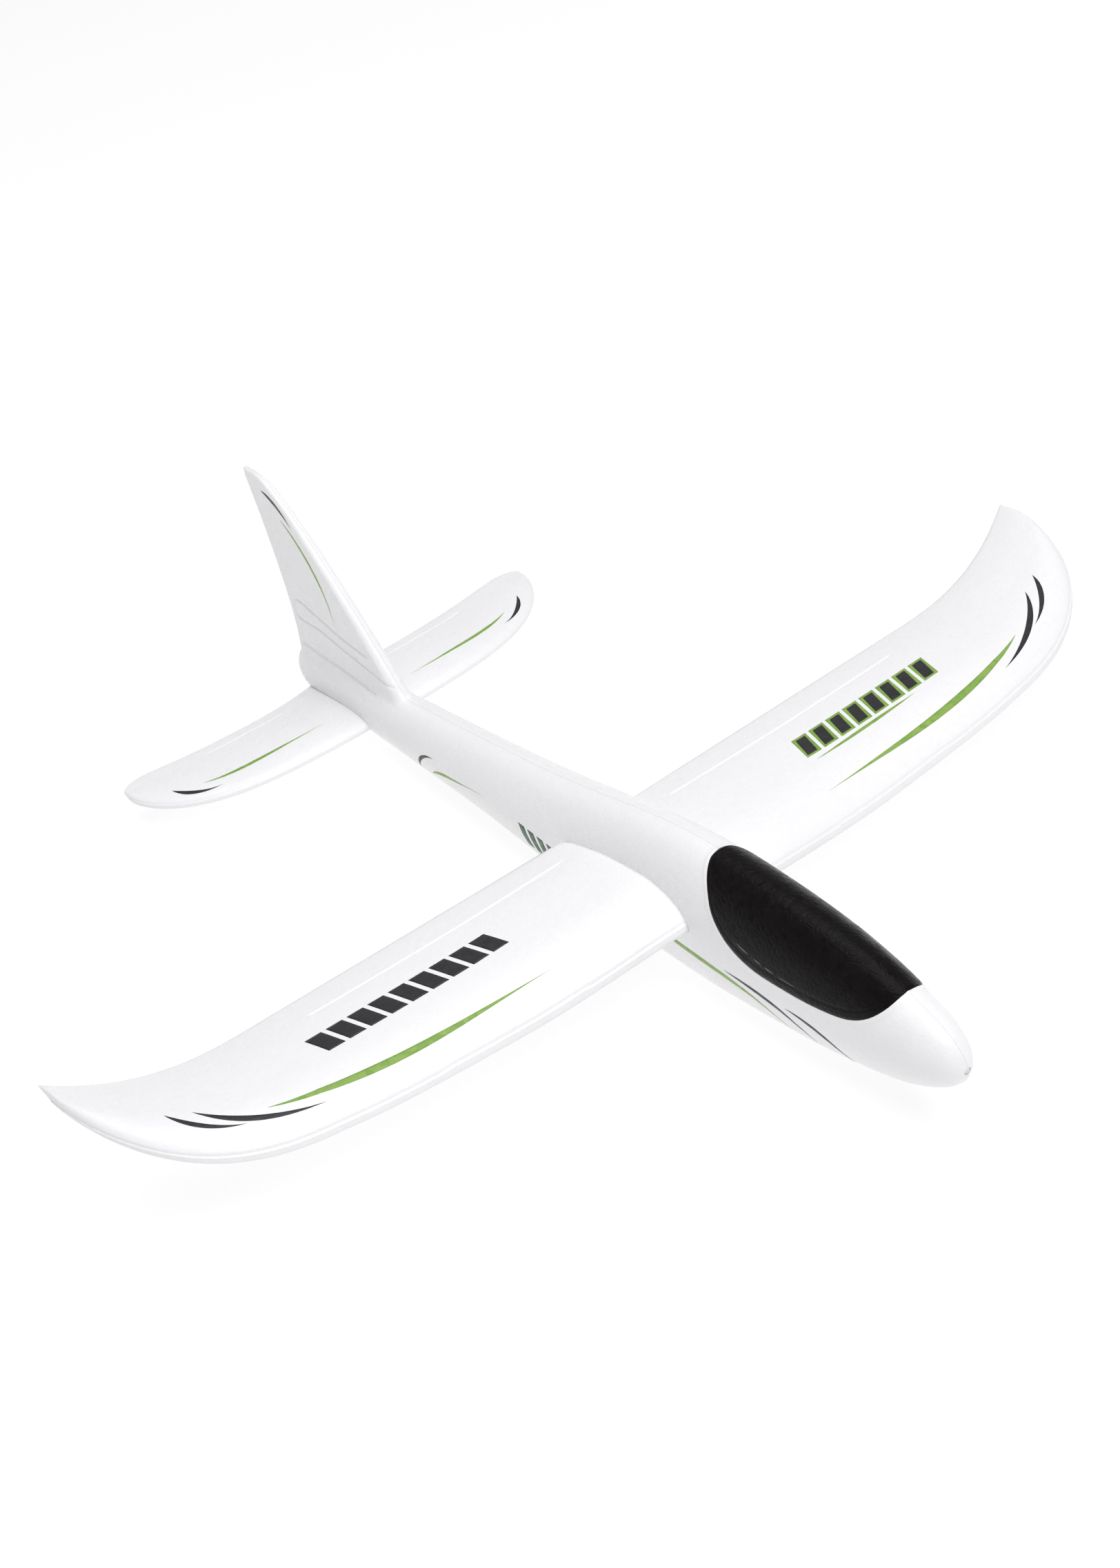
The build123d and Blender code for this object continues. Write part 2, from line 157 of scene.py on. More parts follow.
WING_LIP = 0.34  # the mould's parting line, this share of the thickness above the nose
HINGE_LINE = 17.4  # the moulded line on the wing, this far round from the trailing edge
HINGE_LINE_X = (26.5, 145.5)
HINGE_LINE_HEIGHT = 0.5
MOULD_LINE_WIDTH = 0.45
MOULD_LINE_FADE = 1.5
WING_RIDGE = 0.22  # the height of the parting line's ridge

TAIL_HALF_SPAN = 111.0
TAIL_FLAT_X = 24.0
TAIL_TWIST = 2.6
TAIL_LE_Z = 17.4
TAIL_TE_Z = 13.8
TAIL_MIDDLE_Y = 208.5
TAIL_LENGTH = 55.0  # from there forward to the leading edge
TAIL_NOTCH = 5.0  # the trailing edge runs back by this at the middle
TAIL_NOTCH_X = 40.0
TAIL_HOOK = 5.5  # and by this at the tips,
TAIL_HOOK_X = 60.0
TAIL_CORNER = 12.0  # which are rounded by this much
TAIL_CORNER_X = 95.0
TAIL_EDGE_THICKNESS = 2.0
TAIL_CHORD_THICKNESS = 4.6
TAIL_FULL_CHORD = 60.0
TAIL_PLAIN_X = 22.0  # the stretch in the fuselage's slot has no relief
TAIL_PLAIN_FADE = 4.0
TAIL_LINE = 9.5
TAIL_LINE_X = (28.0, 72.0)
TAIL_LINE_HEIGHT = 0.28
TAIL_LIP = 1.2
TAIL_RIDGE = 0.15
SLOT_REACH = 30.0  # of the tool that cuts the tailplane's slot, to each side
TAIL_UPPER = [(0.75, 0.40), (0.45, 0.62), (0.2, 0.62), (0.06, 0.44), (0.012, 0.22)]
TAIL_LOWER = [(0.012, -0.24), (0.06, -0.37), (0.25, -0.38), (0.6, -0.30)]
EDGE_THICKNESS = 1.6
EDGE_SHARE = 0.6  # a trailing edge is at most this share of the thickness,
EDGE_ROUND = 0.3  # and its rear face is this share of that

BEAD = 2.6  # mean width of a foam bead
BEAD_RELIEF = 0.035
CANOPY_RELIEF = 1.6 * BEAD_RELIEF

# Each tapered stripe or pale dash is its middle line, its greatest width and where along it that is.
# Pale grey dashes along the line inside the canopy's rim, laid as grey film on the black foam.
CANOPY_PALE_DASHES = [
    ([(-124.9, 49.5), (-128.2, 48.6), (-132.0, 47.9)], 0.30, 0.5),
    ([(-134.6, 47.5), (-136.7, 47.2), (-138.8, 46.9)], 0.26, 0.5),
    ([(-140.5, 46.8), (-143.0, 46.6), (-145.5, 46.4)], 0.30, 0.5),
    ([(-148.1, 46.3), (-152.0, 46.2), (-156.2, 46.2)], 0.24, 0.5),
]
WING_GREEN = [
    ([(68.1, -77.7), (106.6, -76.0), (143.9, -73.7), (162.3, -70.3), (183.1, -63.1)], 3.3, 0.62),
]
WING_BLACK = [
    ([(165.4, -74.9), (179.3, -69.8), (190.3, -63.3), (204.5, -47.0)], 2.6, 0.58),
    ([(192.1, -64.7), (199.9, -60.5), (205.9, -55.1), (213.2, -42.5)], 2.2, 0.58),
]
TAIL_GREEN = [
    ([(24.0, 170.2), (40.0, 170.8), (57.0, 171.8), (70.0, 173.6), (83.5, 178.6)], 2.0, 0.62),
]
TAIL_BLACK = [([(77.8, 170.4), (85.0, 173.2), (91.0, 178.0), (96.0, 186.2)], 2.1, 0.62)]
FIN_GREEN = [([(199.1, 106.7), (183.4, 92.2), (176.5, 80.4), (173.1, 62.3)], 1.6, 0.4)]
FIN_BLACK = [([(211.0, 117.5), (203.0, 114.8), (196.5, 110.8), (190.6, 105.2)], 1.9, 0.4)]
SIDE_GREEN = [
    ([(-60.0, 26.4), (-86.0, 27.9), (-112.0, 27.0), (-131.0, 24.2), (-143.0, 16.4)], 2.8, 0.45),
    ([(52.4, 29.4), (66.0, 27.4), (80.0, 25.0), (90.0, 22.8), (98.6, 18.5)], 1.7, 0.75),
]
SIDE_BLACK = [
    ([(-113.6, 30.9), (-131.0, 30.4), (-147.0, 26.8), (-158.5, 18.4)], 2.0, 0.5),
    ([(-147.8, 31.3), (-161.0, 29.6), (-170.0, 24.8), (-175.5, 17.0)], 1.9, 0.5),
    ([(93.1, 28.8), (99.5, 27.4), (106.5, 22.6), (110.0, 16.6)], 1.8, 0.6),
]
# Rows of slanted bars: first bar's middle, pitch, number, bar width, foot, height, slant.
LEFT_WING_BARS = (79.5, 9.0, 8, 4.8, -55.0, 12.0, 3.5)
LEFT_WING_RIM = 1.3
LEFT_WING_UNDERLINE = [
    ([(77.3, -60.0), (95.0, -59.5), (113.0, -59.1), (131.0, -58.8)], 1.8, 0.5),
]
RIGHT_WING_BARS = (-147.5, 9.2, 9, 7.2, -54.2, 12.6, -3.5)
SIDE_BARS = (-30.0, 7.0, 8, 4.6, 19.8, 10.5, 3.0)


# ---------------------------------------------------------------- shapes of the two lifting surfaces
def smooth_step(share):
    """0 up to 0, 1 from 1, and a smooth rise between."""
    share = min(max(share, 0.0), 1.0)
    return share * share * (3 - 2 * share)


def wing_section(x):
    """The wing's (LE y, TE y, LE z, TE z, thickness) at a distance x from the middle."""
    tip = max(0.0, (x - TIP_START_X) / (HALF_SPAN - TIP_START_X))
    round_in = max(0.0, (x - LE_ROUND_START_X) / (HALF_SPAN + 0.5 - LE_ROUND_START_X))
    te_y = TE_Y + TE_SLOPE * x + TIP_SWEEP * tip**2.5
    te_z = TE_Z + DIHEDRAL * x + TIP_RISE * tip**2.4
    straight_le_y = LE_Y + LE_SLOPE * x - LE_BOW * x**2
    le_y = te_y + (straight_le_y - te_y) * (1 - round_in**2.7) ** (1 / 2.2)
    fall = LE_FALL * smooth_step(x / LE_FALL_END_X)
    bow = LE_DROOP * sin(pi * min(x, TIP_START_X) / TIP_START_X)
    le_z = te_z + ROOT_LE_LIFT - fall - bow
    thickness = WING_EDGE_THICKNESS + WING_CHORD_THICKNESS * (te_y - le_y) / FULL_CHORD
    return le_y, te_y, le_z, te_z, thickness


def tail_section(x):
    """The tailplane's (LE y, TE y, LE z, TE z, thickness) at a distance x from the middle."""
    out = max(0.0, (x - TAIL_FLAT_X) / (TAIL_HALF_SPAN - TAIL_FLAT_X))
    notch = TAIL_NOTCH * max(0.0, 1 - x / TAIL_NOTCH_X) ** 2
    hook = TAIL_HOOK * max(0.0, (x - TAIL_HOOK_X) / (TAIL_HALF_SPAN - TAIL_HOOK_X)) ** 2
    corner = max(0.0, (x - TAIL_CORNER_X) / (TAIL_HALF_SPAN + 1.0 - TAIL_CORNER_X))
    le_y = TAIL_MIDDLE_Y - TAIL_LENGTH * (1 - (x / (TAIL_HALF_SPAN + 1.0)) ** 2.9) ** 0.5
    te_y = TAIL_MIDDLE_Y + notch + hook - TAIL_CORNER * (1 - (1 - corner**2) ** 0.5)
    twist = TAIL_TWIST * sin(pi / 2 * out) ** 2
    thickness = TAIL_EDGE_THICKNESS + TAIL_CHORD_THICKNESS * (te_y - le_y) / TAIL_FULL_CHORD
    return le_y, te_y, TAIL_LE_Z - twist, TAIL_TE_Z + twist, thickness


def smooth_line(points, steps=24):
    """A dense smooth line through points (centripetal Catmull-Rom)."""
    p = np.array(points, float)
    p = np.vstack([2 * p[0] - p[1], p, 2 * p[-1] - p[-2]])
    out = []
    for i in range(len(p) - 3):
        a, b, c, d = p[i : i + 4]
        ta = 0.0
        tb = ta + max(1e-6, np.linalg.norm(b - a)) ** 0.5
        tc = tb + max(1e-6, np.linalg.norm(c - b)) ** 0.5
        td = tc + max(1e-6, np.linalg.norm(d - c)) ** 0.5
        t = np.linspace(tb, tc, steps, endpoint=False)[:, None]
        ab = (tb - t) / (tb - ta) * a + (t - ta) / (tb - ta) * b
        bc = (tc - t) / (tc - tb) * b + (t - tb) / (tc - tb) * c
        cd = (td - t) / (td - tc) * c + (t - tc) / (td - tc) * d
        abc = (tc - t) / (tc - ta) * ab + (t - ta) / (tc - ta) * bc
        bcd = (td - t) / (td - tb) * bc + (t - tb) / (td - tb) * cd
        out.append((tc - t) / (tc - tb) * abc + (t - tb) / (tc - tb) * bcd)
    return np.vstack(out + [p[-2]])


def along(line, shares):
    """Points at shares of a line's length, and the length."""
    step = np.linalg.norm(np.diff(line, axis=0), axis=1)
    reach = np.concatenate([[0.0], np.cumsum(step)])
    at = np.asarray(shares) * reach[-1]
    return np.stack([np.interp(at, reach, line[:, k]) for k in range(line.shape[1])], 1), reach[-1]


def section_loop(section, upper, lower, shares):
    """Points (y, z) round an aerofoil from the upper trailing edge over the nose to the lower one."""
    le_y, te_y, le_z, te_z, thickness = section
    half = min(EDGE_THICKNESS, EDGE_SHARE * thickness) / 2
    nose = np.array([le_y, le_z])
    chord = np.array([te_y - le_y, te_z - le_z])
    set_in = half / np.linalg.norm(chord)
    shape = [(1.0, EDGE_ROUND * half / thickness), (1.0 - set_in, half / thickness)]
    shape += upper + [(0.0, 0.0)] + lower
    shape += [(1.0 - set_in, -half / thickness), (1.0, -EDGE_ROUND * half / thickness)]
    points = [nose + share * chord + np.array([0.0, rise * thickness]) for share, rise in shape]
    return along(smooth_line(points), shares)[0]


def outward(grid):
    """Unit outward normals of a (spanwise, round, 3) grid of points."""
    span = np.gradient(grid, axis=0)
    turn = np.gradient(grid, axis=1)
    n = np.cross(span, turn)
    return n / np.maximum(np.linalg.norm(n, axis=2, keepdims=True), 1e-9)


def bead_height(points, seed=0.0):
    """The unevenness of moulded bead foam at points in mm, from about -1 to 1."""
    out = np.empty(len(points))
    for i, (x, y, z) in enumerate(points):
        v = Vector((x + seed, y, z)) / (BEAD * 1.3)
        out[i] = 1.5 * noise.noise(v) + 0.35 * noise.noise(v * 0.31)
    return out


def ridge_at(distance, width):
    """A soft ridge's height, 1 where the distance is 0."""
    return np.exp(-((distance / width) ** 2))


def add_mesh(name, points, faces):
    """A smooth-shaded object from points in mm."""
    mesh = bpy.data.meshes.new(name)
    mesh.from_pydata((np.asarray(points) * MM).tolist(), [], faces)
    bm = bmesh.new()
    bm.from_mesh(mesh)
    bmesh.ops.recalc_face_normals(bm, faces=bm.faces)
    bm.to_mesh(mesh)
    bm.free()
    mesh.shade_smooth()
    obj = bpy.data.objects.new(name, mesh)
    bpy.context.scene.collection.objects.link(obj)
    return obj


def apply_modifiers(obj):
    """Makes an object's modified shape its own mesh."""
    graph = bpy.context.evaluated_depsgraph_get()
    mesh = bpy.data.meshes.new_from_object(obj.evaluated_get(graph))
    old = obj.data
    obj.modifiers.clear()
    obj.data = mesh
    bpy.data.meshes.remove(old)
    obj.data.shade_smooth()


def joined(obj, other, operation):
    """obj with another closed object added or cut away."""
    cut = obj.modifiers.new("cut", "BOOLEAN")
    cut.operation = operation
    cut.object = other
    cut.solver = "MANIFOLD"
    apply_modifiers(obj)
    bpy.data.objects.remove(other)


def block(name, low, high):
    """A closed box from corner to corner, mm, with small rounded edges."""
    corners = list(product(*zip(low, high)))
    faces = [(0, 1, 3, 2), (4, 6, 7, 5), (0, 4, 5, 1), (2, 3, 7, 6), (0, 2, 6, 4), (1, 5, 7, 3)]
    box = add_mesh(name, corners, faces)
    rounding = box.modifiers.new("rounding", "BEVEL")
    rounding.width = 0.7 * MM
    rounding.segments = 3
    apply_modifiers(box)
    return box


# ---------------------------------------------------------------- materials
BEAD_BEND_SCALE = 260.0  # of the noise that bends the beads' sides,
BEAD_BEND = 0.0011  # by up to this, m
CLOUD_SCALE = 38.0  # of the broad unevenness in shade
BEAD_SHADE = 0.75  # this share of the shade goes bead by bead, the rest is the broad unevenness
BEAD_LINE = 0.16  # the sunken line round a bead, as a share of the bead
BEAD_DOME = 0.4  # how much the beads' heights differ, against the depth of the lines


def new_material(name):
    """A new node material, with its nodes, its links and its shader."""
    material = bpy.data.materials.new(name)
    material.use_nodes = True
    nodes = material.node_tree.nodes
    return material, nodes, material.node_tree.links, nodes["Principled BSDF"]


def noise_texture(nodes, links, place, scale, detail):
    """A noise texture at a place."""
    texture = nodes.new("ShaderNodeTexNoise")
    texture.inputs["Scale"].default_value = scale
    texture.inputs["Detail"].default_value = detail
    links.new(place, texture.inputs["Vector"])
    return texture


def scaled_sum(nodes, links, value, factor, added=None):
    """value * factor + added, as a node's output."""
    node = nodes.new("ShaderNodeMath")
    node.operation = "MULTIPLY" if added is None else "MULTIPLY_ADD"
    node.inputs[1].default_value = factor
    links.new(value, node.inputs[0])
    if added is not None:
        links.new(added, node.inputs[2])
    return node.outputs["Value"]


def bead_textures(nodes, links, place):
    """Three even random numbers for each polygonal bead, and the distance to the bead's side."""
    bend = noise_texture(nodes, links, place, BEAD_BEND_SCALE, 2.0)
    bent = nodes.new("ShaderNodeVectorMath")
    bent.operation = "MULTIPLY_ADD"
    bent.inputs[1].default_value = (BEAD_BEND,) * 3
    links.new(bend.outputs["Color"], bent.inputs[0])
    links.new(place, bent.inputs[2])
    beads = nodes.new("ShaderNodeTexVoronoi")
    sides = nodes.new("ShaderNodeTexVoronoi")
    sides.feature = "DISTANCE_TO_EDGE"
    for texture in (beads, sides):
        texture.inputs["Scale"].default_value = 1 / (BEAD * MM)
        links.new(bent.outputs["Vector"], texture.inputs["Vector"])
    numbers = nodes.new("ShaderNodeSeparateColor")
    links.new(beads.outputs["Color"], numbers.inputs["Color"])
    return numbers.outputs, sides.outputs["Distance"]


def bead_foam(name, dark, light, rough, rough_spread, relief, sheen=0.0):
    """Moulded bead foam: polygonal beads, each a slightly different shade and gloss, with fine
    sunken lines between them and a soft unevenness. The relief is in metres."""
    material, nodes, links, shader = new_material(name)
    place = nodes.new("ShaderNodeTexCoord").outputs["Object"]
    numbers, side = bead_textures(nodes, links, place)

    cloud = noise_texture(nodes, links, place, CLOUD_SCALE, 3.0)
    broad = scaled_sum(nodes, links, cloud.outputs["Fac"], 1 - BEAD_SHADE)
    shade = nodes.new("ShaderNodeMix")
    shade.data_type = "RGBA"
    shade.inputs["A"].default_value = (*dark, 1)
    shade.inputs["B"].default_value = (*light, 1)
    links.new(scaled_sum(nodes, links, numbers["Red"], BEAD_SHADE, broad), shade.inputs["Factor"])
    links.new(shade.outputs["Result"], shader.inputs["Base Color"])

    gloss = nodes.new("ShaderNodeMapRange")
    gloss.inputs["To Min"].default_value = rough - rough_spread
    gloss.inputs["To Max"].default_value = rough + rough_spread
    links.new(numbers["Green"], gloss.inputs["Value"])
    links.new(gloss.outputs["Result"], shader.inputs["Roughness"])

    line = nodes.new("ShaderNodeMapRange")
    line.interpolation_type = "SMOOTHSTEP"
    line.inputs["From Max"].default_value = BEAD_LINE
    links.new(side, line.inputs["Value"])
    height = scaled_sum(nodes, links, numbers["Blue"], BEAD_DOME, line.outputs["Result"])
    bump = nodes.new("ShaderNodeBump")
    bump.inputs["Strength"].default_value = 1.0
    bump.inputs["Distance"].default_value = relief
    links.new(height, bump.inputs["Height"])
    links.new(bump.outputs["Normal"], shader.inputs["Normal"])

    shader.inputs["IOR"].default_value = 1.45
    shader.inputs["Sheen Weight"].default_value = sheen
    shader.inputs["Sheen Roughness"].default_value = 0.4
    return material


white_foam = bead_foam(
    "white_foam", (0.848, 0.845, 0.863), (0.867, 0.865, 0.882), 0.34, 0.08, 0.00003, sheen=0.05
)
black_foam = bead_foam(
    "black_foam", (0.0035, 0.0028, 0.0028), (0.007, 0.0055, 0.0055), 0.30, 0.10, 0.00005
)
black_foam.node_tree.nodes["Principled BSDF"].inputs["Specular IOR Level"].default_value = 0.10
# Pale grey for the dashes along the line inside the canopy's rim.
pale_dash_foam = bead_foam("pale_dash_foam", (0.10, 0.10, 0.10), (0.30, 0.30, 0.30), 0.5, 0.1, 0.00002)
green_film = bead_foam("green_film", (0.17, 0.33, 0.05), (0.27, 0.43, 0.085), 0.42, 0.08, 0.00004)
dark_green_film = bead_foam(
    "dark_green_film", (0.02, 0.07, 0.03), (0.045, 0.13, 0.06), 0.42, 0.08, 0.00004
)
black_film = bead_foam(
    "black_film", (0.010, 0.010, 0.013), (0.020, 0.020, 0.025), 0.42, 0.08, 0.00004
)
steel = bead_foam("steel", (0.66, 0.66, 0.66), (0.75, 0.75, 0.75), 0.45, 0.05, 0.00002)
steel.node_tree.nodes["Principled BSDF"].inputs["Metallic"].default_value = 1.0


# ---------------------------------------------------------------- foam pieces
def kept_inside(obj):
    """Puts any vertex that the foam's unevenness lifts out of the CAD model's box back on its face."""
    points = np.empty(len(obj.data.vertices) * 3)
    obj.data.vertices.foreach_get("co", points)
    points = np.clip(points.reshape(-1, 3), list(cad_low), list(cad_high))
    obj.data.vertices.foreach_set("co", points.ravel())
    obj.data.update()


def tree_of(obj):
    """A ray-cast tree of an object's mesh."""
    mesh = obj.data
    points = [obj.matrix_world @ v.co for v in mesh.vertices]
    return BVHTree.FromPolygons(points, [tuple(p.vertices) for p in mesh.polygons])


def zipped_end(first, count):
    """Faces that close a loop of points from its upper to its lower side."""
    faces = []
    for i in range(count // 2 - 1):
        a, b = first + i, first + i + 1
        c, d = first + count - 2 - i, first + count - 1 - i
        faces.append((a, b, c, d))
    return faces


def ring_faces(count, turns):
    """Faces between each ring of points and the next."""
    faces = []
    for i in range(count - 1):
        for j in range(turns):
            k = (j + 1) % turns
            faces.append((i * turns + j, i * turns + k, (i + 1) * turns + k, (i + 1) * turns + j))
    return faces


def surface_panel(name, grid):
    """A closed panel from a (spanwise, round, 3) grid, its trailing edge and both ends closed."""
    spans, turns = grid.shape[:2]
    faces = ring_faces(spans, turns)
    faces += zipped_end(0, turns)
    faces += zipped_end((spans - 1) * turns, turns)
    return add_mesh(name, grid.reshape(-1, 3), faces)


def dense_shares(count, *bands):
    """Evenly spread shares of a loop, with extra ones packed in bands (centre, reach, extra)."""
    shares = np.linspace(0.0, 1.0, count)
    for centre, reach, extra in bands:
        near = np.linspace(centre - reach, centre + reach, extra)
        shares = np.concatenate([shares[np.abs(shares - centre) > reach * 1.15], near])
    shares = np.sort(shares)
    return shares if len(shares) % 2 == 0 else np.delete(shares, 1)


def relieved(grid, line_at, line_height, line_x, lip_up, ridge):
    """The grid with a moulded line, a parting ridge round the nose and the foam's unevenness."""
    normals = outward(grid)
    step = np.linalg.norm(np.diff(grid, axis=1), axis=2)
    reach = np.concatenate([np.zeros((len(grid), 1)), np.cumsum(step, axis=1)], axis=1)
    x = np.abs(grid[:, :, 0])
    fade_in = np.clip((x - line_x[0]) / MOULD_LINE_FADE, 0, 1)
    fade_out = np.clip((line_x[1] - x) / MOULD_LINE_FADE, 0, 1)
    rise = line_height * ridge_at(reach - line_at, MOULD_LINE_WIDTH) * (fade_in * fade_out)
    nose = np.argmin(grid[:, :, 1], axis=1)
    nose_reach = np.take_along_axis(reach, nose[:, None], axis=1)
    below = reach - nose_reach + lip_up[:, None]
    lip = ridge * (ridge_at(below + 0.5, 0.6) - ridge_at(below - 0.5, 0.4))
    lift = lip + rise + BEAD_RELIEF * bead_height(grid.reshape(-1, 3)).reshape(rise.shape)
    return grid + normals * lift[:, :, None]


def slimmed(loop, section, from_tip):
    """A section flattened towards its chord line, for the round edge of a tip."""
    le_y, te_y, le_z, te_z, _ = section
    closing = min(max(0.0, (TIP_ROUND - from_tip) / TIP_ROUND), 1.0)
    flat = np.interp(loop[:, 0], [le_y, te_y], [le_z, te_z])
    loop[:, 1] = flat + (loop[:, 1] - flat) * max(THINNEST_TIP, (1 - closing**2) ** 0.5)
    return loop


def skin_x(y, z):
    """Half the fuselage's width at a point seen from the side."""
    _, top, bottom, half_width = station_at(y)
    middle, half_height = (top + bottom) / 2, (top - bottom) / 2
    return half_width * max(0.0, 1 - ((z - middle) / half_height) ** 2) ** 0.5


def make_wing():
    """The left wing panel with its root tongue; its root follows the fuselage's side."""
    hinge_band, nose_band = (0.0985, 0.018, 22), (0.495, 0.03, 26)
    shares = dense_shares(140, hinge_band, nose_band)
    spread = 1 - (1 - np.linspace(0, 1, 190)) ** 1.35
    xs = WING_ROOT_X + (HALF_SPAN - WING_ROOT_X) * spread
    root = section_loop(wing_section(WING_ROOT_X), WING_UPPER, WING_LOWER, shares)
    starts = np.array([skin_x(y, z) + FIT_GAP for y, z in root])
    lip_up = np.array([WING_LIP * wing_section(x)[4] for x in xs])
    grid = np.zeros((len(xs), len(shares), 3))
    for i, x in enumerate(xs):
        section = wing_section(x)
        loop = section_loop(section, WING_UPPER, WING_LOWER, shares)
        grid[i, :, 1:] = slimmed(loop, section, HALF_SPAN - x)
        out = (x - xs[0]) / (HALF_SPAN - xs[0])
        grid[i, :, 0] = starts * (1 - out) + HALF_SPAN * out
        near_root = max(0.0, 1 - (x - xs[0]) / ROOT_ROUND)
        pull = ROOT_PULL * (1 - (1 - near_root**2) ** 0.5)
        grid[i, :, 1] -= pull * (grid[i, :, 1] - section[0])
    grid = relieved(grid, HINGE_LINE, HINGE_LINE_HEIGHT, HINGE_LINE_X, lip_up, WING_RIDGE)
    wing = surface_panel("left_wing_foam", grid)
    joined(wing, block("tongue", TONGUE_LOW, TONGUE_HIGH), "UNION")
    kept_inside(wing)
    return wing


def make_tailplane():
    """The whole tailplane."""
    line_band, nose_band = (0.08, 0.016, 14), (0.495, 0.03, 16)
    shares = dense_shares(110, line_band, nose_band)
    out = TAIL_HALF_SPAN * np.sin(pi / 2 * np.linspace(0, 1, 110))
    xs = np.concatenate([-out[:0:-1], out])
    grid = np.zeros((len(xs), len(shares), 3))
    for i, x in enumerate(xs):
        section = tail_section(abs(x))
        loop = section_loop(section, TAIL_UPPER, TAIL_LOWER, shares)
        grid[i, :, 0] = x
        grid[i, :, 1:] = slimmed(loop, section, TAIL_HALF_SPAN - abs(x))
    lip_up = np.full(len(xs), TAIL_LIP)
    uneven = relieved(grid, TAIL_LINE, TAIL_LINE_HEIGHT, TAIL_LINE_X, lip_up, TAIL_RIDGE)
    outside = np.clip((np.abs(grid[:, :, :1]) - TAIL_PLAIN_X) / TAIL_PLAIN_FADE, 0, 1)
    return surface_panel("tailplane_foam", grid + outside * (uneven - grid))


def mirrored(obj, name):
    """A mirror image of an object in the plane X = 0."""
    twin = obj.copy()
    twin.data = obj.data.copy()
    twin.name = twin.data.name = name
    twin.data.transform(Matrix.Scale(-1, 4, Vector((1, 0, 0))))
    twin.data.flip_normals()
    bpy.context.scene.collection.objects.link(twin)
    return twin


def moved_along_normals(obj, height):
    """Moves each vertex along its normal by height(points in mm, normals) in mm."""
    mesh = obj.data
    points = np.empty(len(mesh.vertices) * 3)
    mesh.vertices.foreach_get("co", points)
    points = points.reshape(-1, 3)
    normals = np.array([v.normal[:] for v in mesh.vertices])
    points += normals * height(points / MM, normals)[:, None] * MM
    mesh.vertices.foreach_set("co", points.ravel())
    mesh.update()


STATION_LINE = smooth_line(FUSELAGE_STATIONS, 30)
FIN_LINE = smooth_line(FIN_STATIONS, 16)


def station_at(y):
    """The fuselage's (y, top z, bottom z, half width) at any y."""
    return [np.interp(y, STATION_LINE[:, 0], STATION_LINE[:, k]) for k in range(4)]


def tube(name, rings):
    """A closed solid through rings of points, with both ends capped."""
    count, turns = rings.shape[:2]
    faces = ring_faces(count, turns)
    faces.append(tuple(range(turns)))
    faces.append(tuple((count - 1) * turns + j for j in reversed(range(turns))))
    return add_mesh(name, rings.reshape(-1, 3), faces)


def hull_tube():
    """The fuselage's plain skin."""
    angle = np.linspace(0, 2 * pi, 96, endpoint=False)
    rings = []
    for y, top, bottom, half_width in STATION_LINE:
        x = half_width * np.cos(angle)
        z = (top + bottom) / 2 + (top - bottom) / 2 * np.sin(angle)
        rings.append(np.stack([x, np.full_like(x, y), z], 1))
    return tube("hull", np.array(rings))


def fin_tube():
    """The fin's plain skin, with round leading and trailing edges."""
    rings = []
    turn = np.linspace(-pi / 2, pi / 2, 13)
    for z, le_y, te_y, thickness in FIN_LINE:
        r = thickness / 2
        back = np.stack([r * np.sin(turn), te_y - r + r * np.cos(turn)], 1)
        front = np.stack([-r * np.sin(turn), le_y + r - r * np.cos(turn)], 1)
        flat = np.concatenate([back, front])
        rings.append(np.column_stack([flat, np.full(len(flat), z)]))
    return tube("fin", np.array(rings))


def tail_slot():
    """What the tailplane's slot takes out of the fuselage."""
    le_y, te_y, le_z, te_z, thickness = tail_section(0.0)
    grown = (le_y - FIT_GAP, te_y + FIT_GAP, le_z, te_z, thickness + 2 * FIT_GAP)
    loop = section_loop(grown, TAIL_UPPER, TAIL_LOWER, np.linspace(0, 1, 120))
    rings = [np.column_stack([np.full(len(loop), x), loop]) for x in (-SLOT_REACH, SLOT_REACH)]
    return tube("tail_slot", np.array(rings))


def rod_hole():
    """What the ballast rod takes out of the nose."""
    angle = np.linspace(0, 2 * pi, 40, endpoint=False)
    radius = ROD_RADIUS + ROD_GAP
    x, z = radius * np.cos(angle), ROD_Z + radius * np.sin(angle)
    rings = [np.stack([x, np.full_like(angle, y), z], 1) for y in ROD_HOLE_Y]
    return tube("rod_hole", np.array(rings))


def line_distance(points, line):
    """Each 2-D point's distance to a polyline."""
    best = np.full(len(points), 1e9)
    for a, b in zip(line[:-1], line[1:]):
        d = b - a
        t = np.clip(((points - a) @ d) / max(d @ d, 1e-12), 0, 1)
        best = np.minimum(best, np.linalg.norm(points - (a + t[:, None] * d), axis=1))
    return best


def refined_near(obj, line, reach, low, high):
    """Splits the faces of an object near a line drawn on its side view, inside a box."""
    bm = bmesh.new()
    bm.from_mesh(obj.data)
    points = np.array([v.co[:] for v in bm.verts]) / MM
    near = np.all((points > low) & (points < high), axis=1)
    near[near] = line_distance(points[near][:, 1:], line) < reach
    edges = [e for e in bm.edges if near[e.verts[0].index] and near[e.verts[1].index]]
    bmesh.ops.subdivide_edges(bm, edges=edges, cuts=1, use_grid_fill=True)
    bm.to_mesh(obj.data)
    bm.free()


